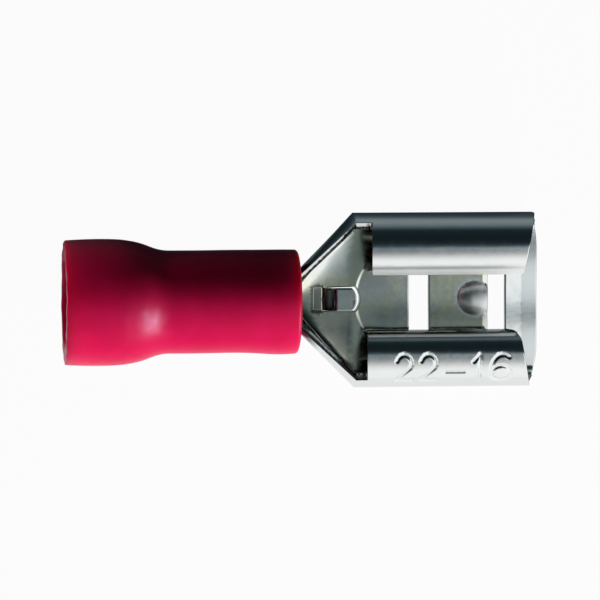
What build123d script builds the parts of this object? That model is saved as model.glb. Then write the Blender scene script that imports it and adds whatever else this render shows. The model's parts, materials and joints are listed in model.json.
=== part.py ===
from build123d import *
import os
from math import asin, atan2, cos, degrees, hypot, radians, sin, tan

# A push-on receptacle for a flat tab, with a red insulating sleeve over its wire barrel.
# Millimetres. While the pieces are shaped, the wire enters at x = 0, the tab enters from +X, and the
# underside of the receptacle's floor is z = 0. At the end both are laid down as they come to rest.

# Strip and the tab that it grips
sheet = 0.4
tab_thickness = 0.8
tab_squeeze = 0.05

# Insulating sleeve
sleeve_r = 2.21
sleeve_fit = 0.02
flare_r = 2.71
flare_wall = 0.75
flare_length = 2.7
flare_rim_inset = 0.05
flare_crown_r = 20.0
taper_length = 1.7
shoulder_blend_r = 2.0
foot_blend_r = 0.5
rim_r = 0.15

# Wire barrel
barrel_bore_r = 0.9
barrel_setback = 0.05
barrel_length = 5.05
seam_gap = 0.06
entry_chamfer = 0.12
serration_count = 3
serration_pitch = 1.0
serration_width = 0.25
serration_depth = 0.05

# Neck, where the strip opens out from the barrel
opening_length = 0.6
opening_width = 2.2
neck_length = 2.45
flange_length = 0.68
flange_turn = 42.0

# Receptacle
outer_width = 7.5
corner_r = 0.7
wall_height = 0.65
far_curl_r = 1.33
near_curl_r = 1.25
wing_length = 7.05
wing_stagger = 0.2
wing_lean = 7.0
wing_rake = 10.0
wing_corner_r = 0.6
far_corner_y = 0.75
near_corner_y = 1.28
floor_overhang = 0.4
front_corner_width = 1.55
lead_in_length = 0.7
lead_in_depth = 0.18
front_bar_drop = 0.075

# Cross slots and locking dimple in the floor
slot_margin = 0.85
slot_corner_r = 0.15
rear_slot_setback = 1.82
rear_slot_length = 0.88
front_slot_margin = 1.41
front_slot_length = 0.77
slot_chamfer_width = 0.155
slot_chamfer_depth = 0.08
dimple_setback = 0.57
dimple_r = 0.76
dimple_height = 0.25
dimple_wall = 0.32

# Lanced wire stop
stop_setback = 1.19
stop_length = 1.44
stop_ramp_length = 0.58
stop_width = 0.94
stop_tip_crown = 0.2
stop_rise = 0.42
stop_side_gap = 0.05
stop_end_gap = 0.17
pocket_length = 0.44
pocket_width = 1.14
pocket_depth = 0.1

# Places that follow, from the wire entry to the tab mouth
barrel_r = barrel_bore_r + sheet
axis_z = barrel_r
taper_end = flare_length + taper_length
barrel_start = taper_end - barrel_setback
barrel_end = barrel_start + barrel_length
neck_start = barrel_end + opening_length
flange_start = neck_start + neck_length
wing_start = flange_start + flange_length
wing_end = wing_start + wing_length
front_x = wing_end + floor_overhang
rear_slot_x = wing_start + rear_slot_setback
front_slot_x = front_x - front_slot_margin - front_slot_length
dimple_x = front_slot_x - dimple_setback
stop_x = neck_start + stop_setback
half_width = outer_width / 2
floor_half = half_width - corner_r
curl_centre_z = corner_r + wall_height
tab_slot_top = sheet + tab_thickness - tab_squeeze

# Reach of a cutter past what it cuts
clear = 1.0

FAR = 1
NEAR = -1
ON_BASE = (Align.CENTER, Align.CENTER, Align.MIN)


# Folded strip

def curl_r(side):
    return far_curl_r if side == FAR else near_curl_r


def curl_turn(side):
    """Turn of a wing's curl in degrees, which brings its free edge down onto the tab."""
    return 180 + degrees(asin((curl_centre_z - tab_slot_top) / curl_r(side)))


def rolled_strip(gap):
    """Half of the strip where it follows the barrel's circle and leaves a gap at the top."""
    half_turn = 180 - degrees(asin(gap / 2 / barrel_r))
    return [("bend", barrel_r, half_turn / 4)] * 4


def receptacle_strip(side, turn):
    """Half of the strip across the receptacle: floor, corner, wall and curl."""
    return [
        ("flat", floor_half),
        ("bend", corner_r, 90),
        ("flat", wall_height),
        ("bend", curl_r(side), turn),
    ]


def fold(strip, side, x, depth):
    """Edges of a layer of half the strip, at a depth in the sheet, from its middle outwards and up."""
    edges = []
    y, z, heading = 0.0, 0.0, 0.0

    def layer_point(y, z, heading):
        return Vector(x, side * (y - depth * sin(heading)), z + depth * cos(heading))

    for kind, *size in strip:
        start = layer_point(y, z, heading)
        if kind == "flat":
            length = size[0]
            y += length * cos(heading)
            z += length * sin(heading)
            edges.append(Line(start, layer_point(y, z, heading)))
        else:
            radius, turn = size[0], radians(size[1])
            centre_y = y - radius * sin(heading)
            centre_z = z + radius * cos(heading)
            points = [start]
            for angle in (heading + turn / 2, heading + turn):
                y = centre_y + radius * sin(angle)
                z = centre_z - radius * cos(angle)
                points.append(layer_point(y, z, angle))
            heading += turn
            edges.append(ThreePointArc(*points))
    return edges


def half_section(strip, side, x):
    """Cross-section of half the strip at x, one sheet thick."""
    outer = fold(strip, side, x, 0)
    inner = fold(strip, side, x, sheet)
    free_edge = Line(outer[-1] @ 1, inner[-1] @ 1)
    middle = Line(inner[0] @ 0, outer[0] @ 0)
    return make_face(Wire(outer + [free_edge] + inner[::-1] + [middle]))


def stretch(strip, side, start, end):
    """Half of the strip with one section all along, from start to end."""
    return extrude(half_section(strip, side, start), end - start, (1, 0, 0))


def blend(first, start, last, end, side):
    """Half of the strip where its section changes from first at start to last at end."""
    return loft([half_section(first, side, start), half_section(last, side, end)], ruled=True)


def strip_half(side):
    """Barrel, neck, flange and receptacle of one half of the terminal, before its trims."""
    closed = rolled_strip(seam_gap)
    opened = rolled_strip(opening_width)
    flange = receptacle_strip(side, flange_turn)
    wing = receptacle_strip(side, curl_turn(side))
    barrel = stretch(closed, side, barrel_start, barrel_end)
    opening = blend(closed, barrel_end, opened, neck_start, side)
    neck = blend(opened, neck_start, flange, flange_start, side)
    ledge = stretch(flange, side, flange_start, front_x)
    cover = stretch(wing, side, flange_start, front_x) - wing_rear_cutter(side)
    return barrel + opening + neck + ledge + cover


# Trims of the receptacle

def shifted(side):
    """How far a wing sits forward of the middle place."""
    return side * wing_stagger / 2


def leaning_prism(outline):
    """Upright block over an outline drawn at the height of the curl's centre, leaning back by wing_lean."""
    reach = curl_centre_z + 2 * (far_curl_r + near_curl_r)
    up = (-tan(radians(wing_lean)), 0, 1)
    slant = hypot(*up)
    face = Pos(0, 0, curl_centre_z) * make_face(outline)
    upper = extrude(face, reach * slant, up)
    lower = extrude(face, wall_height * slant, tuple(-component for component in up))
    return upper + lower


def wing_rear_cutter(side):
    """Removes a wing's cover behind its rear end."""
    rear = wing_start + shifted(side)
    outside = half_width + clear
    outline = Polyline(
        (rear, 0),
        (rear, side * outside),
        (neck_start, side * outside),
        (neck_start, 0),
        close=True,
    )
    return leaning_prism(outline)


def wing_front_cutter(side):
    """Rakes the wing's front back from the wall and rounds the corner of its free edge."""
    corner_y = far_corner_y if side == FAR else near_corner_y
    front = wing_end + shifted(side)
    rake = tan(radians(wing_rake))
    outside = half_width + clear
    outline = FilletPolyline(
        (front + rake * clear, side * outside),
        (front - rake * (half_width - corner_y), side * corner_y),
        (wing_start, side * corner_y),
        (wing_start, 0),
        (front_x + clear, 0),
        (front_x + clear, side * outside),
        radius=[0, wing_corner_r, 0, 0, 0, 0],
        close=True,
    )
    return leaning_prism(outline)


def floor_corner_cutter(side):
    """Takes the floor's front corner back to the wall in one arc."""
    wall_front = wing_end + shifted(side)
    outside = side * (half_width + clear)
    start = (front_x, side * (half_width - front_corner_width))
    end = (wall_front, side * half_width)
    arc = TangentArc(start, end, tangent=(0, side))
    ahead = front_x + clear
    rest = Polyline(end, (wall_front, outside), (ahead, outside), (ahead, start[1]), start)
    face = make_face(Wire(arc.edges() + rest.edges()))
    return extrude(Pos(0, 0, -clear) * face, clear + curl_centre_z, (0, 0, 1))


def lead_in_cutter():
    """Cut that thins the floor ahead of the front slot, gently and then steeply, to let the tab in."""
    bar_x = front_slot_x + front_slot_length
    edge_z = sheet - front_bar_drop - lead_in_depth
    slope = Polyline(
        (bar_x, 0, sheet),
        (front_x - lead_in_length, 0, sheet - front_bar_drop),
        (front_x, 0, edge_z),
        (front_x + clear, 0, edge_z),
        (front_x + clear, 0, sheet + clear),
        (bar_x, 0, sheet + clear),
        close=True,
    )
    return extrude(make_face(slope), floor_half, (0, 1, 0), both=True)


# Floor details

def slot_cutter(x, length):
    """Cross slot through the floor, with rounded corners."""
    shape = RectangleRounded(length, 2 * (floor_half - slot_margin), slot_corner_r)
    return extrude(Pos(x + length / 2, 0, -clear) * shape, 2 * clear, (0, 0, 1))


def slot_chamfer_cutter():
    """Eased top edge on the dimple's side of the front slot."""
    wedge = Polyline(
        (front_slot_x - slot_chamfer_width, 0, sheet),
        (front_slot_x, 0, sheet - slot_chamfer_depth),
        (front_slot_x, 0, sheet + slot_chamfer_depth),
        (front_slot_x - slot_chamfer_width, 0, sheet + slot_chamfer_depth),
        close=True,
    )
    reach = floor_half - slot_margin - slot_corner_r
    outside_dimple = extrude(make_face(wedge), reach, (0, 1, 0), both=True)
    return outside_dimple - Pos(dimple_x, 0, 0) * Cylinder(dimple_r, 4 * sheet)


def dimple_ball(wall):
    """Ball whose crown is the dimple, or the hollow under it when it is a wall thickness smaller."""
    ball_r = (dimple_r**2 + dimple_height**2) / (2 * dimple_height)
    centre_z = sheet + dimple_height - ball_r
    return Pos(dimple_x, 0, centre_z) * Sphere(ball_r - wall)


def dimple_crown():
    above_floor = Pos(dimple_x, 0, sheet / 2) * Cylinder(dimple_r, sheet + dimple_height, align=ON_BASE)
    return dimple_ball(0) & above_floor


def crowned_strip(start, end, half):
    """Plan outline of a strip from start to end that is twice half wide and has a crowned end."""
    shoulder = end - stop_tip_crown
    arc = ThreePointArc((shoulder, -half), (end, 0), (shoulder, half))
    rest = Polyline((shoulder, half), (start, half), (start, -half), (shoulder, -half))
    return make_face(Wire(arc.edges() + rest.edges()))


def stop_window_cutter():
    """Window that the wire stop is lanced from."""
    window = crowned_strip(stop_x, stop_x + stop_length + stop_end_gap, stop_width / 2 + stop_side_gap)
    return extrude(Pos(0, 0, -clear) * window, 2 * clear, (0, 0, 1))


def wire_stop():
    """Tongue that ramps up out of the floor, runs level and has a crowned tip."""
    root = stop_x - pocket_length / 2
    ramp_end = stop_x + stop_ramp_length
    tip = stop_x + stop_length
    side_view = Polyline(
        (root, 0, 0),
        (stop_x, 0, 0),
        (ramp_end, 0, stop_rise),
        (tip, 0, stop_rise),
        (tip, 0, stop_rise + sheet),
        (ramp_end, 0, stop_rise + sheet),
        (stop_x, 0, sheet),
        (root, 0, sheet),
        close=True,
    )
    tongue = extrude(make_face(side_view), stop_width / 2, (0, 1, 0), both=True)
    outline = extrude(crowned_strip(root, tip, stop_width / 2), stop_rise + sheet, (0, 0, 1))
    return tongue & outline


def pocket_cutter():
    """Shallow coined pad behind the wire stop."""
    pad = Box(pocket_length, pocket_width, clear, align=ON_BASE)
    return Pos(stop_x - pocket_length / 2, 0, sheet - pocket_depth) * pad


# Barrel details

def along_axis(solid, x):
    """Lays a solid that stands on its base along the barrel's axis, with its base at x."""
    return Pos(x, 0, axis_z) * Rot(0, 90, 0) * solid


def serration_cutter(index):
    """One grip groove round the inside of the barrel, counted from the middle groove."""
    ring = Cylinder(barrel_bore_r + serration_depth, serration_width, align=ON_BASE)
    first = (barrel_length - (serration_count - 1) * serration_pitch - serration_width) / 2
    return along_axis(ring, barrel_start + first + index * serration_pitch)


def entry_cutter():
    """Eases the barrel's wire entry."""
    cone = Cone(barrel_bore_r + entry_chamfer, barrel_bore_r, entry_chamfer, align=ON_BASE)
    return along_axis(cone, barrel_start)


def make_terminal():
    body = strip_half(FAR) + strip_half(NEAR)
    body += dimple_crown()
    body -= dimple_ball(dimple_wall)
    body -= slot_chamfer_cutter()
    body -= slot_cutter(rear_slot_x, rear_slot_length)
    body -= slot_cutter(front_slot_x, front_slot_length)
    body -= stop_window_cutter()
    body += wire_stop()
    body -= pocket_cutter()
    body -= lead_in_cutter()
    for side in (FAR, NEAR):
        body -= floor_corner_cutter(side)
        body -= wing_front_cutter(side)
    for index in range(serration_count):
        body -= serration_cutter(index)
    body -= entry_cutter()
    return body


# Sleeve

def make_sleeve():
    """Revolved tube: wide and slightly barrelled at the wire end, narrow over the barrel."""
    narrow_bore = barrel_r + sleeve_fit
    wide_bore = flare_r - flare_wall
    rim = flare_r - flare_rim_inset
    shoulder = flare_r - flare_rim_inset / 2
    inner_blend_r = shoulder_blend_r / 2
    blends = [0, rim_r, flare_crown_r, shoulder_blend_r, foot_blend_r, rim_r, 0, foot_blend_r, inner_blend_r]
    profile = FilletPolyline(
        (0, wide_bore),
        (0, rim),
        (flare_length / 2, flare_r),
        (flare_length, shoulder),
        (taper_end, sleeve_r),
        (neck_start, sleeve_r),
        (neck_start, narrow_bore),
        (taper_end, narrow_bore),
        (flare_length, wide_bore),
        radius=blends,
        close=True,
    )
    return Pos(0, 0, axis_z) * revolve(make_face(profile), Axis.X)


# Rest

def rest_tilt():
    """Degrees nose-down when it lies on the floor's front edge and the lowest part of the sleeve."""
    tilts = []
    for x, radius, rounding in ((flare_length, flare_r, 0), (neck_start - rim_r, sleeve_r, rim_r)):
        ahead = front_x - x
        below = radius - rounding - axis_z
        tilts.append(atan2(below, ahead) + asin(rounding / hypot(ahead, below)))
    return degrees(max(tilts))


def lay_down(shapes):
    """Turns the pieces to their rest and puts the origin under the middle of their box."""
    turned = [Rot(0, rest_tilt(), 0) * shape for shape in shapes]
    boxes = [shape.bounding_box() for shape in turned]
    rear = min(box.min.X for box in boxes)
    front = max(box.max.X for box in boxes)
    bottom = min(box.min.Z for box in boxes)
    return [Pos(-(rear + front) / 2, 0, -bottom) * shape for shape in turned]


def main():
    os.makedirs("parts", exist_ok=True)
    terminal, sleeve = lay_down([make_terminal(), make_sleeve()])
    export_step(terminal, "parts/terminal.step")
    export_step(sleeve, "parts/insulation_sleeve.step")


main()
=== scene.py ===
import json
import math

import bmesh
import bpy
from mathutils import Matrix, Quaternion, Vector, noise
from mathutils.geometry import delaunay_2d_cdt


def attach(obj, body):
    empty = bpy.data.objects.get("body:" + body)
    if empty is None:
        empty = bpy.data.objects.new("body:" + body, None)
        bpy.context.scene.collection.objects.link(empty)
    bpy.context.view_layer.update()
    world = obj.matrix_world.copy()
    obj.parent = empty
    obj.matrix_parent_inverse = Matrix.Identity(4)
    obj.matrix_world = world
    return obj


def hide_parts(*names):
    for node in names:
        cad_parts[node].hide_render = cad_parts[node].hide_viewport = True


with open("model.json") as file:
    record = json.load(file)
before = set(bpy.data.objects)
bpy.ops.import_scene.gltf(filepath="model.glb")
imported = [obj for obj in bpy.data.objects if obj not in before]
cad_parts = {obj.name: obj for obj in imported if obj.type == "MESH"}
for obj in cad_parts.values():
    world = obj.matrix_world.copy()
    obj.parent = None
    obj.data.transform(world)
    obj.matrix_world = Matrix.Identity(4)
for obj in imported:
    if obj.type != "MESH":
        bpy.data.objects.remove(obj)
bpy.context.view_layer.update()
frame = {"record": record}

# Places are written in the part's own shaping frame, in millimetres: the wire enters at x = 0, the tab
# enters from +X, and z = 0 is the underside of the receptacle's floor. The near side is -Y.
mm = 0.001
tab_mouth = Vector((20.58, 0.0, 0.8))

# Camera as measured from the photograph
photo_size = 600
camera_target = Vector((10.3, 0.0, 1.0))
target_pixel = (303.55, 300.38)
pixels_per_mm = 23.2546
camera_distance = 167.78
camera_back_lean = 6.16
camera_side_lean = 3.96
camera_roll = -0.458
sensor_width = 36.0


def part_matrix():
    """Turns millimetres in the shaping frame into metres in the row frame."""
    mount = next(m for m in frame["record"]["mounts"] if m["name"] == "tab_socket")
    along = Vector(mount["axis"]).normalized()
    up = Vector((-along.z, 0.0, along.x))
    across = up.cross(along)
    turn = Matrix((along, across, up)).transposed() * mm
    place = Vector(mount["pos_m"]) - turn @ tab_mouth
    return Matrix.Translation(place) @ turn.to_4x4()


TO_ROW = part_matrix()


def make_camera():
    """Long lens almost straight above the part, which leans towards the wire end and the far wing."""
    lean_x = -math.sin(math.radians(camera_back_lean))
    lean_y = math.sin(math.radians(camera_side_lean))
    back = Vector((lean_x, lean_y, math.sqrt(1 - lean_x**2 - lean_y**2)))
    right = (Vector((1, 0, 0)) - back * back.x).normalized()
    above = back.cross(right)
    roll = math.radians(camera_roll)
    right, above = (
        right * math.cos(roll) + above * math.sin(roll),
        above * math.cos(roll) - right * math.sin(roll),
    )
    middle = photo_size / 2
    slide = right * (middle - target_pixel[0]) + above * (target_pixel[1] - middle)
    place = camera_target + back * camera_distance + slide / pixels_per_mm
    camera = bpy.data.objects.new("camera", bpy.data.cameras.new("camera"))
    bpy.context.scene.collection.objects.link(camera)
    turn = TO_ROW.to_3x3() * (1 / mm) @ Matrix((right, above, back)).transposed()
    camera.matrix_world = Matrix.Translation(TO_ROW @ place) @ turn.to_4x4()
    camera.data.sensor_width = sensor_width
    camera.data.lens = pixels_per_mm * camera_distance * sensor_width / photo_size
    camera.data.clip_start = 0.01
    camera.data.clip_end = 10
    bpy.context.scene.camera = camera


def limited(value):
    """Value held between 0 and 1."""
    return min(max(value, 0), 1)


def share_between(value, start, end):
    """How far a value has come from start to end, held between 0 and 1."""
    return limited((value - start) / (end - start))


def mix(a, b, share):
    return a + (b - a) * share


def steps(count):
    """Even shares from 0 to 1."""
    return [k / count for k in range(count + 1)]


# Shader nodes

def connect(tree, value, socket):
    """Sets a socket to a number or a colour, or links another socket to it."""
    if isinstance(value, (int, float)):
        socket.default_value = value
    elif isinstance(value, tuple):
        socket.default_value = (*value, 1)
    else:
        tree.links.new(value, socket)


def math_node(tree, operation, *values):
    node = tree.nodes.new("ShaderNodeMath")
    node.operation = operation
    for socket, value in zip(node.inputs, values):
        connect(tree, value, socket)
    return node.outputs[0]


def mapped(tree, value, start, end, low=0.0, high=1.0):
    """Value carried from start..end to low..high."""
    node = tree.nodes.new("ShaderNodeMapRange")
    for name, number in (("From Min", start), ("From Max", end), ("To Min", low), ("To Max", high)):
        node.inputs[name].default_value = number
    tree.links.new(value, node.inputs["Value"])
    return node.outputs["Result"]


def blended(tree, factor, first, second, blend_type="MIX"):
    """Colour from two colours or colour sockets."""
    node = tree.nodes.new("ShaderNodeMix")
    node.data_type = "RGBA"
    node.blend_type = blend_type
    for name, value in (("Factor", factor), ("A", first), ("B", second)):
        connect(tree, value, node.inputs[name])
    return node.outputs["Result"]


def mixed_shaders(tree, factor, first, second):
    node = tree.nodes.new("ShaderNodeMixShader")
    for socket, value in zip(node.inputs, (factor, first, second)):
        connect(tree, value, socket)
    return node.outputs[0]


def neutral(level):
    return (level, level, level)


def cool_gray(level):
    """Neutral colour that turns to navy where it is dark."""
    cool = max(0, 1 - level / 0.3)
    return (level * (1 - 0.45 * cool), level, level * (1 + 0.25 * cool))


def ramped(tree, value, start, end, levels, tone=cool_gray):
    """Colour that follows a value from start to end, by a dictionary of levels at values."""
    node = tree.nodes.new("ShaderNodeValToRGB")
    elements = node.color_ramp.elements
    while len(elements) < len(levels):
        elements.new(0.5)
    for element, (place, level) in zip(elements, levels.items()):
        element.position = (place - start) / (end - start)
        element.color = (*tone(level), 1)
    tree.links.new(mapped(tree, value, start, end), node.inputs[0])
    return node.outputs["Color"]


def coordinates(tree, kind):
    """X, Y and Z sockets of a texture coordinate."""
    place = tree.nodes.new("ShaderNodeTexCoord")
    split = tree.nodes.new("ShaderNodeSeparateXYZ")
    tree.links.new(place.outputs[kind], split.inputs[0])
    return split.outputs


# Studio. The light tent's levels go by degrees from straight above, with the near side negative. Two more
# sets go by the direction's X: how the dark side fades to the rear, and a window high up in front.

tent_levels = {
    -180: 0.9,
    -60: 0.95,
    -48: 0.82,
    -36: 0.58,
    -25: 0.33,
    -14: 0.2,
    -4: 0.17,
    4: 0.06,
    14: 0.02,
    28: 0.012,
    44: 0.014,
    58: 0.018,
    64: 0.03,
    75: 0.11,
    84: 0.19,
    100: 0.2,
}
rear_levels = {-1: 0.05, -0.5: 0.2, -0.15: 0.6, 0: 0.85, 0.2: 1, 1: 1}
rear_fade_angles = (-35, -5)
window_levels = {0.22: 0, 0.32: 0.45, 0.36: 1, 0.44: 1, 0.52: 0.8, 0.62: 0.5, 0.7: 0.5, 0.8: 0.95}
window_angles = (6, -4)

# Painted shade on the paper as the part sees it in reflections, as levels across and along the part, in
# metres: white on the near side, a painted shadow just past the far side, dim further out and towards the
# rear
painted_paper_shade_across = {
    -0.01: 0.9,
    -0.002: 0.85,
    0.002: 0.2,
    0.0035: 0.025,
    0.0045: 0.03,
    0.006: 0.055,
    0.0085: 0.14,
    0.0106: 0.21,
    0.04: 0.22,
}
painted_paper_shade_along = {-0.03: 0.08, -0.012: 1}
paper_half = 0.4
paper_colour = 0.85
glow_share = 0.96

# Share of the tent's light that reaches matt surfaces, which the key lamp lights instead
soft_fill = 0.01
lamp_distance = 0.25


def fill_strength(tree, path):
    """Strength of the tent for a ray: full in gloss, and nearly none on matt surfaces."""
    return mapped(tree, path.outputs["Is Diffuse Ray"], 0, 1, 1, soft_fill)


def tent_colour(tree):
    """White at the near side and dark at the far side."""
    x, y, z = coordinates(tree, "Generated")
    angle = math_node(tree, "ARCTAN2", y, z)
    levels = {math.radians(degrees): level for degrees, level in tent_levels.items()}
    across = ramped(tree, angle, -math.pi, math.pi, levels)
    rear = ramped(tree, x, -1, 1, rear_levels, neutral)
    window = ramped(tree, x, 0, 1, window_levels, neutral)
    rear_share = mapped(tree, angle, *map(math.radians, rear_fade_angles))
    window_share = mapped(tree, angle, *map(math.radians, window_angles))
    faded = blended(tree, rear_share, across, rear, "MULTIPLY")
    lit = blended(tree, window_share, faded, window, "ADD")
    lit.node.clamp_result = True
    return lit


def make_world():
    """Light tent, which the camera sees as plain white."""
    world = bpy.data.worlds.new("studio")
    bpy.context.scene.world = world
    world.use_nodes = True
    tree = world.node_tree
    nodes, links = tree.nodes, tree.links
    nodes.clear()
    path = nodes.new("ShaderNodeLightPath")
    tent = nodes.new("ShaderNodeBackground")
    links.new(tent_colour(tree), tent.inputs["Color"])
    links.new(fill_strength(tree, path), tent.inputs["Strength"])
    white = nodes.new("ShaderNodeBackground")
    white.inputs["Color"].default_value = (1, 1, 1, 1)
    shown = mixed_shaders(tree, path.outputs["Is Camera Ray"], tent.outputs[0], white.outputs[0])
    links.new(shown, nodes.new("ShaderNodeOutputWorld").inputs["Surface"])


def paper():
    """White to the camera. The part sees it with painted shade: white on the near side, a painted shadow
    beside the far side, and dim to the rear.
    """
    material = bpy.data.materials.new("pale_floor")
    material.use_nodes = True
    tree = material.node_tree
    nodes, links = tree.nodes, tree.links
    nodes.clear()
    diffuse = nodes.new("ShaderNodeBsdfDiffuse")
    diffuse.inputs["Color"].default_value = (*neutral(paper_colour), 1)
    white = nodes.new("ShaderNodeEmission")
    white.inputs["Color"].default_value = (1, 1, 1, 1)
    x, y, _ = coordinates(tree, "Object")
    across = ramped(tree, y, min(painted_paper_shade_across), max(painted_paper_shade_across), painted_paper_shade_across)
    along_part = ramped(tree, x, min(painted_paper_shade_along), 0, painted_paper_shade_along)
    path = nodes.new("ShaderNodeLightPath")
    # Painted shade and shadow of the paper, seen in reflections and faintly in bounced light
    dim = nodes.new("ShaderNodeEmission")
    links.new(blended(tree, 1, across, along_part, "MULTIPLY"), dim.inputs["Color"])
    links.new(fill_strength(tree, path), dim.inputs["Strength"])
    seen = math_node(tree, "MAXIMUM", path.outputs["Is Camera Ray"], path.outputs["Is Transmission Ray"])
    glow = mixed_shaders(tree, seen, dim.outputs[0], white.outputs[0])
    surface = mixed_shaders(tree, glow_share, diffuse.outputs[0], glow)
    links.new(surface, nodes.new("ShaderNodeOutputMaterial").inputs["Surface"])
    return material


def make_floor():
    corners = [(-1, -1), (1, -1), (1, 1), (-1, 1)]
    mesh = bpy.data.meshes.new("floor")
    mesh.from_pydata([(paper_half * x, paper_half * y, 0) for x, y in corners], [], [(0, 1, 2, 3)])
    mesh.materials.append(paper())
    floor = bpy.data.objects.new("floor", mesh)
    bpy.context.scene.collection.objects.link(floor)


def make_lamp(name, towards, size, energy, matt, roll=0.0, distance=lamp_distance):
    """Flat lamp that lights matt surfaces, or else only gloss. Its roll about the beam is in degrees."""
    towards = Vector(towards).normalized()
    light = bpy.data.lights.new(name, "AREA")
    light.shape = "RECTANGLE"
    light.size, light.size_y = size
    light.energy = energy
    lamp = bpy.data.objects.new(name, light)
    bpy.context.scene.collection.objects.link(lamp)
    lamp.location = towards * distance
    lamp.rotation_mode = "QUATERNION"
    turned = Quaternion((0, 0, 1), math.radians(roll))
    lamp.rotation_quaternion = towards.to_track_quat("Z", "Y") @ turned
    lamp.visible_diffuse = matt
    lamp.visible_glossy = not matt
    return lamp


def make_lamps(sleeve):
    """Low key lamp, and two lamps for the sleeve alone: a glint on its taper and a small one behind it."""
    make_lamp("key", towards=(0.42, -0.87, 0.27), size=(0.12, 0.12), energy=0.78, matt=True)
    glint = make_lamp(
        "glint", towards=(0.69, -0.54, 0.475), size=(0.026, 0.16), energy=1.9, matt=False, roll=-42.0
    )
    glint.data.color = (0.8, 0.72, 1)
    rear = make_lamp(
        "rear", towards=(-15, 3, 7.5), size=(0.002, 0.002), energy=0.00018, matt=True, distance=0.0175
    )
    rear.visible_camera = False
    sleeve_only = bpy.data.collections.new("sleeve_only")
    sleeve_only.objects.link(sleeve)
    for lamp in (glint, rear):
        lamp.light_linking.receiver_collection = sleeve_only


FAR, NEAR = 1, -1

# Terminal's sizes in millimetres, as in its CAD source
sheet = 0.4
tab_slot_top = 1.15
barrel_r = 1.3
seam_gap = 0.06
opening_width = 2.2
barrel_start = 4.35
barrel_end = 9.4
neck_start = 10.0
neck_burr = 0.012
burr_waves_in_neck = 29.0
flange_start = 12.45
flange_turn = 42.0
wing_start = 13.13
wing_end = 20.18
front_x = 20.58
half_width = 3.75
corner_r = 0.7
wall_height = 0.52
curl_wall_r = {FAR: 1.46, NEAR: 1.48}
curl_edge_r = {FAR: 1.2, NEAR: 1.02}
wing_stagger = 0.2
wing_lean = 7.0
wing_rake = 10.0
wing_corner_r = 0.6
wing_corner_y = {FAR: 0.75, NEAR: 1.28}
front_corner_width = 1.55
lead_in_length = 0.7
lead_in_depth = 0.18
lead_in_turn = 50.0
front_bar_drop = 0.075
serration_pitch = 1.0
serration_width = 0.25
serration_depth = 0.05
entry_chamfer = 0.12
floor_half = half_width - corner_r
curl_centre_z = corner_r + wall_height
lean_z = 1.35

# Cross slots, dimple and wire stop in the floor
slot_half = 2.2
slot_corner_r = 0.15
rear_slot = (14.95, 15.83)
front_slot = (18.4, 19.17)
slot_chamfer_width = 0.155
slot_chamfer_depth = 0.08
dimple_x = 17.83
dimple_r = 0.76
dimple_height = 0.25
dimple_wall = 0.32
dimple_ball_r = (dimple_r**2 + dimple_height**2) / (2 * dimple_height)
dimple_lean = 0.45
stop_x = 11.19
stop_length = 1.44
stop_ramp_length = 0.58
stop_half = 0.49
stop_tip_crown = 0.2
stop_rise = 0.42
stop_side_gap = 0.03
stop_end_gap = 0.17
pocket_length = 0.44
pocket_half = 0.57
pocket_depth = 0.06
floor_bow = 0.05
tarnish_height = 0.5
step_x = 12.55
step_curve = 0.22
step_half = 2.0
step_rise = 0.015
step_width = 0.12

# Rounding of the strip's cut edges, as (inset from the edge, depth in the sheet), from the outer layer to
# the inner one
edge_r = 0.02
eased = 0.29 * edge_r
RIM = (
    (edge_r, 0),
    (eased, eased),
    (0, edge_r),
    (0, sheet - edge_r),
    (eased, sheet - eased),
    (edge_r, sheet),
)
OUTER, INNER = 0, len(RIM) - 1


# Folded strip: half a section is a chain of stretches, from its middle outwards and up. Each stretch is
# (y, z, heading, length, turn) at its start, and a flat one has no turn.

def along(stretch, share, depth):
    """Place (y, z, heading) at a share of a stretch, at a depth in the sheet."""
    y, z, heading, length, turn = stretch
    ahead = heading + turn * share
    if turn == 0:
        y += length * share * math.cos(heading)
        z += length * share * math.sin(heading)
    else:
        radius = length / turn
        y += radius * (math.sin(ahead) - math.sin(heading))
        z -= radius * (math.cos(ahead) - math.cos(heading))
    return y - depth * math.sin(ahead), z + depth * math.cos(ahead), ahead


def chain(stretches):
    placed = []
    y = z = heading = 0.0
    for length, turn in stretches:
        placed.append((y, z, heading, length, turn))
        y, z, heading = along(placed[-1], 1, 0)
    return placed


def rolled_section(gap):
    quarter = (math.pi - math.asin(gap / 2 / barrel_r)) / 4
    return chain([(barrel_r * quarter, quarter)] * 4)


def receptacle_section(side):
    """Floor, corner, wall, the flange's part of the curl, and the cover's rounder and tighter parts."""
    turn = math.radians(flange_turn)
    rest = math.pi / 2 - turn
    wall_r, tip_r = curl_wall_r[side], curl_edge_r[side]
    last = math.pi / 2 + math.asin((curl_centre_z + wall_r - tip_r - tab_slot_top) / tip_r)
    bends = [(corner_r, math.pi / 2), (wall_r, turn), (wall_r, rest), (tip_r, last)]
    stretches = [(radius * bend, bend) for radius, bend in bends]
    return chain([(floor_half, 0), stretches[0], (wall_height, 0)] + stretches[1:])


CLOSED = rolled_section(seam_gap)
OPENED = rolled_section(opening_width)
RECEPTACLE = {side: receptacle_section(side) for side in (FAR, NEAR)}


def section_place(side, zone, zone_share, stretch, share, inset, depth):
    """Place (y, z, heading) in the section that a zone has at a share of its length."""
    whole = RECEPTACLE[side]
    ends = {"barrel": (CLOSED, CLOSED), "opening": (CLOSED, OPENED), "neck": (OPENED, whole)}
    first, last = ends.get(zone, (whole, whole))
    start = along(first[stretch], share - inset / first[stretch][3], depth)
    end = along(last[stretch], share - inset / last[stretch][3], depth)
    return tuple(mix(a, b, zone_share) for a, b in zip(start, end))


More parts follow.
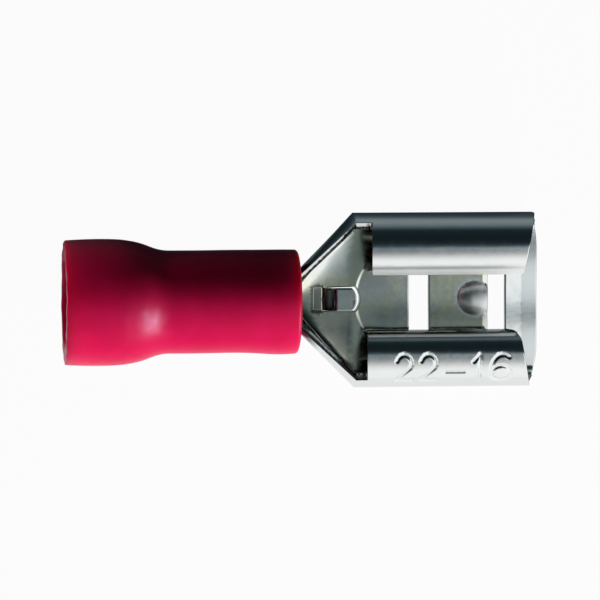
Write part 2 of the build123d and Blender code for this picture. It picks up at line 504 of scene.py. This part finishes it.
def wing_front(side, y):
    """Front of a wing, at its curl's centre height: raked back from the wall, with a rounded corner."""
    rake = math.radians(wing_rake)
    front = wing_end + side * wing_stagger / 2
    corner_y = wing_corner_y[side] + wing_corner_r
    corner_x = front - math.tan(rake) * (half_width - corner_y) - wing_corner_r / math.cos(rake)
    if y > corner_y - wing_corner_r * math.sin(rake):
        return front - math.tan(rake) * (half_width - y)
    across = min(corner_y - y, wing_corner_r)
    return corner_x + math.sqrt(wing_corner_r**2 - across**2)


def lean_at(z):
    return math.tan(math.radians(wing_lean)) * (z - lean_z)


def front_at(side, y, z):
    """Where the strip ends at the front, at a place y out from the middle and z up."""
    front = front_x
    corner_start = half_width - front_corner_width
    if y > corner_start:
        drop = front_x - wing_end - side * wing_stagger / 2
        radius = (drop**2 + front_corner_width**2) / (2 * drop)
        front += math.sqrt(radius**2 - (y - corner_start) ** 2) - radius
    if z > corner_r:
        front = min(front, wing_front(side, y) - lean_at(z))
    return front


def cover_start(side, z):
    """Where a wing's cover begins at the rear."""
    return wing_start + side * wing_stagger / 2 - lean_at(z)


def thinning(x, heading):
    """What the sheet lacks on its inner side: grip grooves in the barrel, and the lead-in at the front."""
    if x < barrel_end:
        from_middle = x - (barrel_start + barrel_end) / 2
        groove = math.cos(2 * math.pi * from_middle / serration_pitch)
        grooved = groove > math.cos(math.pi * serration_width / serration_pitch)
        among_three = abs(from_middle) < 1.5 * serration_pitch
        eased_entry = max(0, entry_chamfer - (x - barrel_start))
        return max(serration_depth * (grooved and among_three), eased_entry)
    bend = front_x - lead_in_length
    bar = front_bar_drop * share_between(x, front_slot[1], bend)
    lead_in = lead_in_depth * share_between(x, bend, front_x)
    return (bar + lead_in) * share_between(heading, math.radians(lead_in_turn), 0)


# Side strips of the mesh: rows run up the section and columns along the part. The rows of the covers are
# finest where the numbers are.

floor_row = 8
FLANGE_ROWS = (floor_row, 10, 6, 12)
COVER_ROWS = {FAR: (16, 28), NEAR: (38, 32)}
flange_row = sum(FLANGE_ROWS)


def make_rows(side):
    """Rows as (stretch, share) up the section."""
    rows = [(0, 0.0)]
    for stretch, count in enumerate(FLANGE_ROWS + COVER_ROWS[side]):
        rows += [(stretch, share) for share in steps(count)[1:]]
    return rows


ROWS = {side: make_rows(side) for side in (FAR, NEAR)}
ZONES = {"barrel": 40, "opening": 6, "neck": 44, "ledge": 6, "cover": 192}
COLUMNS = [("barrel", 0.0)] + [(zone, share) for zone, count in ZONES.items() for share in steps(count)[1:]]
neck_column = ZONES["barrel"] + ZONES["opening"]
flange_column = neck_column + ZONES["neck"]
cover_column = flange_column + ZONES["ledge"]
front_column = len(COLUMNS) - 1


def column_place(side, column, row, y, z, inset):
    """Place along the part of a column, where the section is at (y, z)."""
    zone, share = COLUMNS[column]
    if zone == "barrel":
        return mix(barrel_start, barrel_end, share) + (inset if column == 0 else 0)
    if zone == "opening":
        return mix(barrel_end, neck_start, share)
    if zone == "neck":
        return mix(neck_start, flange_start, share)
    flange_top = curl_centre_z + curl_wall_r[side] * math.sin(math.radians(flange_turn))
    rear = cover_start(side, z if row >= flange_row else flange_top)
    if row >= flange_row and column == cover_column:
        rear += inset
    if zone == "ledge":
        return mix(flange_start, rear, share)
    return mix(rear, front_at(side, abs(y), z) - inset, share)


def strip_point(side, row, column, level):
    """Point of a side strip's mesh on a level of the rim, the first and last being the sheet's layers."""
    inset, depth = RIM[level]
    stretch, share = ROWS[side][row]
    zone, zone_share = COLUMNS[column]
    free = row == len(ROWS[side]) - 1 or (row == flange_row and column <= cover_column)
    pulled = inset if free else 0
    if free and zone in ("neck", "opening"):
        grain = Vector((zone_share * burr_waves_in_neck, side * 9, 0))
        pulled += neck_burr * (1 + noise.noise(grain))
    y, z, heading = section_place(side, zone, zone_share, stretch, share, pulled, depth)
    x = column_place(side, column, row, y, z, inset)
    if level == OUTER and side == NEAR and stretch > 2:
        rise = min(heading - math.pi / 2, math.pi / 2)
        fall = heading - math.pi / 2 - rise
        depth = engraved_depth(x, curl_wall_r[side] * rise + curl_edge_r[side] * fall)
    if depth > sheet / 2:
        depth -= thinning(x, heading)
    y, z, heading = section_place(side, zone, zone_share, stretch, share, pulled, depth)
    return Vector((x, side * y, z))


# Engraved numbers on the near wing's roll, as strokes of (along, up) points on its unrolled surface. The
# wall of a stroke starts and ends at shares of its half width.

digit_start = 14.11
digit_base = 1.03
digit_height = 1.3
stroke_half = 0.075
stroke_margin = 0.2
stroke_wall_start = 0.5
stroke_wall_end = 1.3
engraving_depth = 0.055


def arc(centre, radii, start, end, count=8):
    """Points of an elliptic arc, with angles in degrees from +along towards up."""
    return [
        (
            centre[0] + radii[0] * math.cos(math.radians(mix(start, end, share))),
            centre[1] + radii[1] * math.sin(math.radians(mix(start, end, share))),
        )
        for share in steps(count)
    ]


def numeral_two(left):
    hook = arc((left + 0.35, 0.92), (0.33, 0.38), 165, -35)
    return hook + [(left + 0.02, 0.04), (left + 0.74, 0.04)]


def numeral_one(left):
    return [(left + 0.02, 0.98), (left + 0.3, 1.28), (left + 0.3, 0.0)]


def numeral_six(left):
    back = arc((left + 0.5, 0.66), (0.47, 0.62), 55, 200)
    return back + arc((left + 0.45, 0.4), (0.42, 0.38), 200, 540, 14)


STROKES = (
    numeral_two(digit_start),
    numeral_two(digit_start + 1.05),
    [(digit_start + 2.14, 0.5), (digit_start + 2.96, 0.5)],
    numeral_one(digit_start + 3.33),
    numeral_six(digit_start + 4.1),
)


def stroke_distance(stroke, x, up):
    """Distance from a point to a chain of straight runs."""
    nearest = math.inf
    for (x0, y0), (x1, y1) in zip(stroke, stroke[1:]):
        run = (x1 - x0) ** 2 + (y1 - y0) ** 2
        share = limited(((x - x0) * (x1 - x0) + (up - y0) * (y1 - y0)) / run)
        nearest = min(nearest, math.hypot(x - mix(x0, x1, share), up - mix(y0, y1, share)))
    return nearest


def engraved_depth(x, arc_length):
    """Depth of the numbers at a place on the near roll, with sloping walls."""
    up = arc_length - digit_base
    if not -stroke_margin < up < digit_height + stroke_margin:
        return 0.0
    for stroke in STROKES:
        left = min(along_roll for along_roll, _ in stroke)
        right = max(along_roll for along_roll, _ in stroke)
        if left - stroke_margin < x < right + stroke_margin:
            place = stroke_distance(stroke, x, up) / stroke_half
            cut = share_between(place, stroke_wall_end, stroke_wall_start)
            if cut > 0:
                return engraving_depth * cut
    return 0.0


# Floor between the side strips, in plan

def floor_edge(x):
    """Half width of the floor's plan at x."""
    if x > flange_start:
        return floor_half
    return mix(OPENED[1][0], floor_half, (x - neck_start) / (flange_start - neck_start))


def floor_top_cut(x, y):
    """What the floor lacks on its upper side, less what the dimple adds."""
    cut = thinning(x, 0)
    edge = min(x - stop_x + pocket_length, pocket_half - abs(y))
    if x < stop_x and edge > 0:
        cut += pocket_depth * min(1, edge / edge_r)
    reach = math.hypot(x - dimple_x, y)
    if reach < dimple_r:
        lean = 1 - dimple_lean * (x - dimple_x) / dimple_r
        cut -= (math.sqrt(dimple_ball_r**2 - reach**2) - dimple_ball_r + dimple_height) * lean
    chamfer_share = 1 + (x - front_slot[0]) / slot_chamfer_width
    if reach >= dimple_r and 0 < chamfer_share < 1.01 and abs(y) < slot_half - slot_corner_r:
        cut += slot_chamfer_depth * chamfer_share
    return cut


def floor_bottom_hollow(x, y):
    """Height of the hollow under the dimple."""
    reach = math.hypot(x - dimple_x, y)
    hollow_r = dimple_ball_r - dimple_wall
    if reach > hollow_r:
        return 0.0
    return max(0, sheet + dimple_height - dimple_ball_r + math.sqrt(hollow_r**2 - reach**2))


def step_line(y):
    return step_x + step_curve * y * y


def floor_lift(x, y):
    """Slight bow of the floor, and the low step where the neck's floor comes down into it."""
    bow = floor_bow * (1 - math.cos(2 * math.pi * y / floor_half)) / 2
    bow *= share_between(x, flange_start, flange_start + 1.5)
    stop_tip = stop_x + stop_length
    before_step = share_between(x, step_line(y) + step_width, step_line(y))
    past_stop = share_between(x, stop_tip - 0.3, stop_tip)
    return bow + step_rise * past_stop * before_step * max(0, 1 - (y / step_half) ** 2)


def floor_point(x, y, level):
    """Point of the floor's mesh. In the neck it follows the section, as far out as y is in the plan."""
    height = RIM[level][1]
    if height > sheet / 2:
        height -= floor_top_cut(x, y)
    else:
        height += floor_bottom_hollow(x, y)
    height += floor_lift(x, y)
    if x > flange_start:
        return Vector((x, y, height))
    side = FAR if y > 0 else NEAR
    share = (x - neck_start) / (flange_start - neck_start)
    across, z, _ = section_place(side, "neck", share, 0, abs(y) / floor_edge(x), 0, height)
    return Vector((x, side * across, z))


def slot_outline(slot, margin):
    """Rounded outline of a cross slot, grown by a margin."""
    start, end = slot[0] - margin, slot[1] + margin
    half = slot_half + margin
    radius = slot_corner_r + margin
    points = []
    corners = ((end, half, 0), (start, half, 90), (start, -half, 180), (end, -half, 270))
    for x, y, turn in corners:
        centre = (x - math.copysign(radius, x - mix(start, end, 0.5)), y - math.copysign(radius, y))
        points += arc(centre, (radius, radius), turn, turn + 90, 5)
    return points


def window_outline(margin):
    """Outline of the window that the wire stop is lanced from, grown by a margin."""
    end = stop_x + stop_length + stop_end_gap + margin
    half = stop_half + stop_side_gap + margin
    start = stop_x - margin
    crown_r = (half**2 + stop_tip_crown**2) / (2 * stop_tip_crown)
    crown = math.degrees(math.asin(half / crown_r))
    tip = arc((end - crown_r, 0), (crown_r, crown_r), -crown, crown, 12)
    return tip + [(start, half), (start, -half)]


def runs(points):
    """Pairs of neighbours round a closed outline."""
    return list(zip(points, points[1:] + points[:1]))


def between(start, end, shares):
    """Points at shares of the way from a start to an end."""
    return [(mix(start[0], end[0], share), mix(start[1], end[1], share)) for share in shares]


def hole_outline(outline, margin, length=0.05):
    """Outline with points added along its straight runs, as many at every margin."""
    dense = []
    for (start, end), plain in zip(runs(outline(margin)), runs(outline(0))):
        count = max(1, round(math.dist(*plain) / length))
        dense += between(start, end, steps(count)[:-1])
    return dense


HOLES = (
    lambda margin: hole_outline(lambda grown: slot_outline(rear_slot, grown), margin),
    lambda margin: hole_outline(lambda grown: slot_outline(front_slot, grown), margin),
    lambda margin: hole_outline(window_outline, margin),
)


def inside(x, y, outline):
    """Whether a point is inside a closed outline."""
    crossings = 0
    for (x0, y0), (x1, y1) in runs(outline):
        if (y0 > y) != (y1 > y) and x < mix(x0, x1, (y - y0) / (y1 - y0)):
            crossings += 1
    return crossings % 2 == 1


def floor_boundary():
    """Plan outline of the floor. It shares its points with the side strips and stops short of the front."""
    outline = []
    for side in (FAR, NEAR):
        seam = []
        for column in range(neck_column, len(COLUMNS)):
            x = column_place(side, column, floor_row, floor_half, 0, edge_r)
            seam.append((x, side * floor_edge(x)))
        rear = [(neck_start, side * share * OPENED[1][0]) for share in steps(floor_row)[:-1]]
        front = [
            (front_at(side, share * floor_half, 0) - edge_r, side * share * floor_half)
            for share in steps(40)[1:-1]
        ]
        half = rear + seam + front[::-1]
        outline.append(half if side == FAR else half[::-1][:-1])
    middle = (front_x - edge_r, 0.0)
    return outline[0] + [middle] + outline[1]


def crease(start, end, length=0.1):
    """Points along a fold line, without its ends."""
    count = max(2, round(math.dist(start, end) / length))
    return between(start, end, steps(count)[1:-1])


def floor_creases():
    """Lines that the floor's triangles follow: dimple, lead-in, the slot's chamfer, pocket and step."""
    lines = [arc((dimple_x, 0), (dimple_r, dimple_r), 0, 360, 96)]
    lines.append(arc((dimple_x, 0), (dimple_r + 0.02, dimple_r + 0.02), 0, 360, 96))
    bend = front_x - lead_in_length
    for x in (front_slot[1] + edge_r + 0.03, bend - 0.03, bend + 0.03):
        lines.append(crease((x, -floor_half), (x, floor_half)))
    chamfer_x = front_slot[0] - slot_chamfer_width
    for side in (FAR, NEAR):
        for x in (chamfer_x - 0.01, chamfer_x + 0.01, front_slot[0] - edge_r - 0.02):
            lines.append(crease((x, side * 0.7), (x, side * slot_half), 0.05))
    for margin in (-0.04, 0.0, edge_r, 0.06):
        rear, half = stop_x - pocket_length + margin, pocket_half - margin
        corners = [(stop_x, -half), (rear, -half), (rear, half), (stop_x, half)]
        for start, end in zip(corners, corners[1:]):
            lines.append([start] + crease(start, end, 0.05) + [end])
    for offset in (-0.04, 0.0, 0.04, 0.08, step_width, step_width + 0.04):
        across = [mix(-step_half, step_half, share) for share in steps(50)]
        lines.append([(step_line(y) + offset, y) for y in across])
    return lines


def floor_inner_points():
    """Loose points that give the floor's curved places their shape."""
    points = [(dimple_x, 0)]
    for ring in range(1, 8):
        radius = dimple_r * ring / 8
        points += arc((dimple_x, 0), (radius, radius), 0, 360, 8 * ring)[:-1]
    for hole in HOLES:
        points += hole(edge_r + 0.04)
    for column in range(1, 26):
        x = mix(neck_start, flange_start, column / 26)
        points += [(x, floor_edge(x) * share / 8) for share in range(-7, 8)]
    for column in range(1, 60):
        x = mix(flange_start, front_x, column / 60)
        points += [(x, floor_half * share / 24) for share in range(-23, 24)]
    for share in steps(60)[1:-1]:
        y = mix(-floor_half, floor_half, share)
        points.append((front_at(FAR if y > 0 else NEAR, abs(y), 0) - edge_r - 0.04, y))
    return points


def floor_triangles():
    """Plan points and triangles of the floor, with its holes left out."""
    loops = [floor_boundary()] + [hole(edge_r) for hole in HOLES]
    points, edges = [], []
    for loop in loops:
        first = len(points)
        points += loop
        edges += [(first + k, first + (k + 1) % len(loop)) for k in range(len(loop))]
    grown = [hole(edge_r + 0.01) for hole in HOLES]

    def usable(x, y):
        return inside(x, y, loops[0]) and not any(inside(x, y, hole) for hole in grown)

    points += [point for point in floor_inner_points() if usable(*point)]
    for line in floor_creases():
        for start, end in zip(line, line[1:]):
            if usable(*start) and usable(*end):
                edges.append((len(points), len(points) + 1))
                points += [start, end]
    plan, _, triangles, *_ = delaunay_2d_cdt([Vector(p) for p in points], edges, [], 0, 1e-6)
    kept = []
    for triangle in triangles:
        x = sum(plan[k].x for k in triangle) / 3
        y = sum(plan[k].y for k in triangle) / 3
        if inside(x, y, loops[0]) and not any(inside(x, y, hole) for hole in loops[1:]):
            kept.append(triangle)
    return plan, kept


# Finish of the strip and the shade painted on it, as shares from 0 to 1 at each point of its mesh

# Painted shade: its strongest share, and its shares on the cut edges of the neck's far and near halves
deepest_painted_shade = 0.85
far_neck_edge_shade = 0.2
near_neck_edge_shade = 0.5
dimple_matt = 0.56
bar_matt = 0.15


def inner_share(place, level):
    """Where the olive tarnish is: low on the inner side, and less on the far half of the neck."""
    low = share_between(place.z, sheet + tarnish_height, sheet)
    if place.x < flange_start:
        low *= 1 - 0.8 * share_between(place.y, 0.7, 1.3)
    return low * level / INNER


def matt_share(place, level):
    """Where the strip is less bright: the coined dimple, the front bar and the far wing's edge."""
    x, y, z = place
    chamfer_x = front_slot[0] - slot_chamfer_width
    dimple = dimple_matt * share_between(math.hypot(x - dimple_x, y) / dimple_r, 1.1, 0.975)
    bar = bar_matt * share_between(x, chamfer_x, chamfer_x + 0.03) if z < sheet + 0.1 else 0
    far_edge = share_between(y, 1.735, 1.285) if z > 1 and y > 1 and x > wing_start - 0.5 else 0
    return max(dimple, bar, far_edge)


# Painted shade on the sheared edges: strongest outside the neck, and weaker along the neck's edges
def cut_edge_painted_shade(place):
    if place.x > wing_start - 0.1 or place.x < neck_start:
        return deepest_painted_shade
    return far_neck_edge_shade if place.y > 1 else near_neck_edge_shade


def outer_painted_shade(place):
    """Painted shade outside: the near wing's free edge, the far side of the neck, and the neck next to the
    sleeve.
    """
    x, y, z = place
    near_edge = 0.65 * share_between(y, -1.65, -1.55) if y < 0 and z > 1.3 and x > flange_start else 0
    far_neck = 0.5 * share_between(x, flange_start, flange_start - 0.3) if y > 0 else 0
    beside_sleeve = deepest_painted_shade * share_between(x, neck_start + 0.85, neck_start + 0.45)
    return max(near_edge, far_neck, beside_sleeve)


def inner_painted_shade(place):
    """Painted shade inside: the wire stop's ramp, its pocket with a darker border, high in the curls and
    the neck's near side.
    """
    x, y, z = place
    out = abs(y)
    if out < stop_half + 0.01 and stop_x < x < stop_x + stop_ramp_length:
        return deepest_painted_shade
    pocket = min(x - stop_x + pocket_length, pocket_half - out)
    if x <= stop_x and pocket > -0.05:
        return 0.4 if pocket > 0.04 else deepest_painted_shade
    beside_cover = 0.6 if y < 0 else 0
    if x <= flange_start:
        return beside_cover * share_between(out, 0.3, 1.3)
    deep = mix(beside_cover, deepest_painted_shade, share_between(x, flange_start, flange_start + 0.7))
    return deep * share_between(z, 0.5, 0.9)


def painted_shade_at(place, level):
    """How strongly painted shade covers the plate."""
    if level == OUTER:
        return outer_painted_shade(place)
    return inner_painted_shade(place) if level == INNER else cut_edge_painted_shade(place)


FINISH_AND_PAINTED_SHADE = {"inner_side": inner_share, "matt_side": matt_share, "painted_shade": painted_shade_at}


# Mesh. A corner of a face is a function from a level of the rim to a vertex.

class Skin:
    """Vertices and faces of the strip's mesh, with the shares of its finish and of its painted shade at
    each vertex.
    """

    def __init__(self):
        self.points, self.faces, self.known = [], [], {}
        self.shares = {name: [] for name in FINISH_AND_PAINTED_SHADE}

    def vertex(self, key, place, level):
        if key not in self.known:
            self.known[key] = len(self.points)
            self.points.append(TO_ROW @ place)
            for name, share in FINISH_AND_PAINTED_SHADE.items():
                self.shares[name].append(share(place, level))
        return self.known[key]

    def patch(self, corners):
        """Face in both layers of the sheet."""
        for level in (OUTER, INNER):
            self.faces.append(tuple(corner(level) for corner in corners))

    def patch_at(self, at, row, column):
        """Patch between two rows and two columns of corners."""
        places = ((row, column), (row, column + 1), (row + 1, column + 1), (row + 1, column))
        self.patch([at(*place) for place in places])

    def band(self, path, closed=False):
        """Faces of the rim along a path of corners."""
        ends = path[1:] + path[:1] if closed else path[1:]
        for here, there in zip(path, ends):
            for level in range(INNER):
                self.faces.append((here(level), there(level), there(level + 1), here(level + 1)))


def add_side(skin, side):
    """Both layers of a side strip and the rim along its cut edges."""
    rows = len(ROWS[side])

    def at(row, column):
        def corner(level):
            return skin.vertex((side, row, column, level), strip_point(side, row, column, level), level)
        return corner

    for row in range(rows - 1):
        for column in range(front_column):
            in_floor = row < floor_row and column >= neck_column
            past_flange = row >= flange_row and column < cover_column
            if not in_floor and not past_flange:
                skin.patch_at(at, row, column)
    edge = [(row, 0) for row in range(flange_row)]
    edge += [(flange_row, column) for column in range(cover_column)]
    edge += [(row, cover_column) for row in range(flange_row, rows - 1)]
    edge += [(rows - 1, column) for column in range(cover_column, front_column)]
    edge += [(row, front_column) for row in range(rows - 1, floor_row - 1, -1)]
    skin.band([at(*place) for place in edge])


def add_floor(skin):
    """Both layers of the floor, and the rims of its holes and of its front edge."""
    plan, triangles = floor_triangles()

    def plan_corner(number):
        return lambda level: skin.vertex(("floor", number, level), floor_point(*plan[number], level), level)

    def hole_corner(number, rings, k):
        return lambda level: skin.vertex((number, k, level), floor_point(*rings[level][k], level), level)

    def front_corner(y, side):
        def corner(level):
            x = front_at(side, abs(y), 0) - RIM[level][0]
            return skin.vertex(("front", y, level), floor_point(x, y, level), level)
        return corner

    for triangle in triangles:
        skin.patch([plan_corner(number) for number in triangle])
    for number, hole in enumerate(HOLES):
        rings = [hole(inset) for inset, _ in RIM]
        skin.band([hole_corner(number, rings, k) for k in range(len(rings[0]))], closed=True)
    front = {(side * share * floor_half, side) for side in (NEAR, FAR) for share in steps(40)}
    skin.band([front_corner(y, side) for y, side in sorted(front)])


def stop_point(across, share, level):
    """Point of the wire stop: across from -1 to 1, and a share of its length from inside the floor."""
    inset, depth = RIM[level]
    y = across * (stop_half - inset)
    crown_r = (stop_half**2 + stop_tip_crown**2) / (2 * stop_tip_crown)
    tip = stop_x + stop_length - inset - crown_r + math.sqrt(crown_r**2 - y**2)
    x = mix(stop_x - pocket_length / 4, tip, share)
    climb = share_between(x, stop_x, stop_x + stop_ramp_length)
    eased_climb = mix(climb, climb * climb * (3 - 2 * climb), 0.6)
    low = pocket_depth * (1 - climb)
    return Vector((x, y, depth * (1 - low / sheet) + eased_climb * stop_rise))


def add_wire_stop(skin):
    """Tongue whose root is inside the floor."""
    lengths, widths = 40, 14

    def at(row, column):
        def corner(level):
            place = stop_point(2 * row / widths - 1, column / lengths, level)
            return skin.vertex(("stop", row, column, level), place, level)
        return corner

    for row in range(widths):
        for column in range(lengths):
            skin.patch_at(at, row, column)
    edge = [(0, column) for column in range(lengths)]
    edge += [(row, lengths) for row in range(widths)]
    edge += [(widths, column) for column in range(lengths, 0, -1)]
    edge += [(row, 0) for row in range(widths, 0, -1)]
    skin.band([at(*place) for place in edge], closed=True)


def mesh_object(title, points, faces, shares, weld=False):
    """Smooth object with shares at its vertices and its normals outwards."""
    mesh = bpy.data.meshes.new(title)
    mesh.from_pydata(points, [], faces)
    for name, values in shares.items():
        layer = mesh.attributes.new(name, "FLOAT", "POINT")
        layer.data.foreach_set("value", values)
    form = bmesh.new()
    form.from_mesh(mesh)
    if weld:
        bmesh.ops.remove_doubles(form, verts=form.verts, dist=2e-7)
        bmesh.ops.dissolve_degenerate(form, edges=form.edges, dist=1e-7)
    bmesh.ops.recalc_face_normals(form, faces=form.faces)
    form.to_mesh(mesh)
    form.free()
    mesh.polygons.foreach_set("use_smooth", [True] * len(mesh.polygons))
    piece = bpy.data.objects.new(title, mesh)
    bpy.context.scene.collection.objects.link(piece)
    return piece


def make_terminal():
    """Terminal in one skin. Large faces weigh most in its normals, so that its cut edges look crisp."""
    skin = Skin()
    for side in (FAR, NEAR):
        add_side(skin, side)
    add_floor(skin)
    add_wire_stop(skin)
    piece = mesh_object("folded_terminal", skin.points, skin.faces, skin.shares, weld=True)
    weigh = piece.modifiers.new("weigh", "WEIGHTED_NORMAL")
    weigh.weight = 100
    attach(piece, "root")
    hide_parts("terminal")
    return piece


# Sleeve

sleeve_r = 2.21
flare_r = 2.71
flare_wall = 0.75
flare_length = 2.7
flare_rim_inset = 0.05
taper_start = 2.35
taper_end = 4.5
taper_steepest = 3.66
taper_softness = 0.1
narrow_bore = 1.32
bore_edge = 0.05
front_bore_edge = 0.04
rear_rim_r = 0.08
rim_r = 0.15
sleeve_turns = 200

# Unevenness of the sleeve: waves on its wide radii, a rougher rear rim, and a swell near its front on the
# near side
wavy_from_r = 1.9
wave_height = 0.018
rim_roughness = 0.035
swell_height = 0.07
swell_x = 9.2

# Light that goes through the plastic: a little all over, and a glow that dies down from each end
glow_all_over = 0.015
rear_glow, rear_glow_length = 1.1, 1.0
front_glow, front_glow_length = 0.95, 0.5


def taper_share(x):
    """How far the taper has come at x: its slope grows evenly to taper_steepest and then falls evenly."""
    total = 0.0
    peak = (taper_steepest - taper_start) / (taper_end - taper_start)
    offsets = (-1, -0.5, 0, 0.5, 1)
    for offset in offsets:
        share = share_between(x + offset * taper_softness, taper_start, taper_end)
        total += share**2 / peak if share < peak else 1 - (1 - share) ** 2 / (1 - peak)
    return total / len(offsets)


def sleeve_outside(x):
    """Radius of the sleeve's outside, which is a little crowned over the flare."""
    crown = flare_r - flare_rim_inset * (1 - 2 * min(x, flare_length) / flare_length) ** 2
    return mix(crown, sleeve_r, taper_share(x))


def sleeve_profile():
    """Closed profile of the sleeve as (x, radius) points."""
    wide_bore = flare_r - flare_wall
    rear_centre = (rear_rim_r, sleeve_outside(rear_rim_r) - rear_rim_r)
    front_centre = (neck_start - rim_r, sleeve_r - rim_r)
    outside = [mix(rear_rim_r, neck_start - rim_r, share) for share in steps(110)[1:-1]]
    bore = [mix(neck_start - 0.2, 0.2, share) for share in steps(60)]
    return (
        arc(rear_centre, (rear_rim_r, rear_rim_r), 180, 90, 6)
        + [(x, sleeve_outside(x)) for x in outside]
        + arc(front_centre, (rim_r, rim_r), 90, 0, 6)
        + [(neck_start, narrow_bore + front_bore_edge), (neck_start - front_bore_edge, narrow_bore)]
        + [(x, mix(wide_bore, narrow_bore, taper_share(x))) for x in bore]
        + [(bore_edge, wide_bore), (0.0, wide_bore + bore_edge)]
    )


def sleeve_point(x, radius, turn):
    """Point of the sleeve at a turn from its top, with the small unevenness of a soft moulded tube."""
    grain = Vector((x * 0.35, math.cos(turn), math.sin(turn)))
    rim = math.exp(-x / 0.25) * noise.noise(grain * 4 + Vector((7, 0, 0))) * rim_roughness
    if radius > wavy_from_r:
        radius += noise.noise(grain * 1.3) * wave_height
        radius += swell_height * math.exp(-((x - swell_x) ** 2) - ((turn + math.pi / 2) / 0.5) ** 2)
    return Vector((x + rim, radius * math.sin(turn), barrel_r + radius * math.cos(turn)))


def light_through(x):
    """Share of light that goes through the plastic, which is most near its two ends."""
    rear = rear_glow * math.exp(-x / rear_glow_length)
    front = front_glow * math.exp((x - neck_start) / front_glow_length)
    return min(1, glow_all_over + rear + front)


def make_sleeve():
    profile = sleeve_profile()
    points, faces = [], []
    for number in range(sleeve_turns):
        turn = 2 * math.pi * number / sleeve_turns - math.pi
        points += [TO_ROW @ sleeve_point(x, radius, turn) for x, radius in profile]
    count = len(profile)
    for number in range(sleeve_turns):
        here, there = number * count, (number + 1) % sleeve_turns * count
        for k in range(count):
            ahead = (k + 1) % count
            faces.append((here + k, here + ahead, there + ahead, there + k))
    shares = {"light_through": [light_through(x) for x, _ in profile] * sleeve_turns}
    piece = mesh_object("soft_sleeve", points, faces, shares)
    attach(piece, "root")
    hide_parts("insulation_sleeve")
    return piece


# Materials

def noise_node(tree, scale, detail=4, roughness=0.6, stretch=(1, 1, 1)):
    """Noise on the piece's own metres, scale being in features per metre."""
    place = tree.nodes.new("ShaderNodeTexCoord")
    sized = tree.nodes.new("ShaderNodeMapping")
    sized.inputs["Scale"].default_value = stretch
    grain = tree.nodes.new("ShaderNodeTexNoise")
    grain.inputs["Scale"].default_value = scale
    grain.inputs["Detail"].default_value = detail
    grain.inputs["Roughness"].default_value = roughness
    tree.links.new(place.outputs["Object"], sized.inputs["Vector"])
    tree.links.new(sized.outputs["Vector"], grain.inputs["Vector"])
    return grain.outputs["Fac"]


def add_bump(tree, shader, heights):
    """Chained bumps of (height, distance in metres)."""
    normal = None
    for height, distance in heights:
        bump = tree.nodes.new("ShaderNodeBump")
        bump.inputs["Strength"].default_value = 1
        bump.inputs["Distance"].default_value = distance
        tree.links.new(height, bump.inputs["Height"])
        if normal:
            tree.links.new(normal, bump.inputs["Normal"])
        normal = bump.outputs["Normal"]
    tree.links.new(normal, shader.inputs["Normal"])


def vertex_share(tree, name):
    """Share that a piece's vertices carry under a name."""
    node = tree.nodes.new("ShaderNodeAttribute")
    node.attribute_name = name
    return node.outputs["Fac"]


def tin_plate():
    """Bright tin plate: cool on the rolled outside, with an olive tarnish on the inner side, and painted
    shade that darkens it towards near black.
    """
    material = bpy.data.materials.new("tin_plate")
    material.use_nodes = True
    tree = material.node_tree
    shader = tree.nodes["Principled BSDF"]
    matt = vertex_share(tree, "matt_side")
    clean = mapped(tree, matt, 0, 0.15, 1, 0)
    inner = math_node(tree, "MULTIPLY", vertex_share(tree, "inner_side"), clean)
    cloud = mapped(tree, noise_node(tree, 700, 3), 0.35, 0.65)
    tarnish = blended(tree, cloud, (0.92, 0.93, 0.66), (0.88, 0.9, 0.82))
    cool = blended(tree, cloud, (0.84, 0.88, 0.88), (0.88, 0.9, 0.88))
    plated = blended(tree, inner, cool, tarnish)
    # Painted shade: the colour is mixed towards near black by the painted shade share
    with_painted_shade = blended(tree, vertex_share(tree, "painted_shade"), plated, (0.03, 0.04, 0.045))
    tree.links.new(with_painted_shade, shader.inputs["Base Color"])
    tree.links.new(mapped(tree, matt, 0.65, 0.9, 1, 0.4), shader.inputs["Metallic"])
    mottle = mapped(tree, noise_node(tree, 2500, 5, 0.7), 0.35, 0.7, 0.08, 0.18)
    dull = math_node(tree, "MULTIPLY", matt, 0.42)
    tree.links.new(math_node(tree, "ADD", mottle, dull), shader.inputs["Roughness"])
    drawn = noise_node(tree, 9000, 3, stretch=(0.12, 1, 1))
    add_bump(tree, shader, [(noise_node(tree, 1200, 2), 0.000003), (drawn, 0.0000008)])
    return material


def red_pvc():
    """Soft red PVC: a faintly uneven satin skin that light goes into near its ends."""
    material = bpy.data.materials.new("red_pvc")
    material.use_nodes = True
    tree = material.node_tree
    shader = tree.nodes["Principled BSDF"]
    cloud = mapped(tree, noise_node(tree, 900, 3), 0.3, 0.7)
    red = blended(tree, cloud, (0.66, 0.001, 0.066), (0.74, 0.003, 0.086))
    tree.links.new(red, shader.inputs["Base Color"])
    rough = mapped(tree, noise_node(tree, 4000), 0.3, 0.7, 0.3, 0.39)
    tree.links.new(rough, shader.inputs["Roughness"])
    shader.inputs["Specular IOR Level"].default_value = 0.1
    shader.inputs["Sheen Weight"].default_value = 0.07
    shader.inputs["Sheen Roughness"].default_value = 0.5
    shader.inputs["Sheen Tint"].default_value = (1, 0.8, 1, 1)
    tree.links.new(vertex_share(tree, "light_through"), shader.inputs["Subsurface Weight"])
    shader.inputs["Subsurface Scale"].default_value = 0.0014
    shader.inputs["Subsurface Radius"].default_value = (1.0, 0.04, 0.12)
    add_bump(tree, shader, [(noise_node(tree, 1500, 3), 0.00001), (noise_node(tree, 9000), 0.0000012)])
    return material


bpy.context.scene.view_settings.view_transform = "Standard"
make_camera()
make_world()
make_floor()
terminal = make_terminal()
sleeve = make_sleeve()
make_lamps(sleeve)
for piece, material in ((terminal, tin_plate()), (sleeve, red_pvc())):
    piece.data.materials.clear()
    piece.data.materials.append(material)
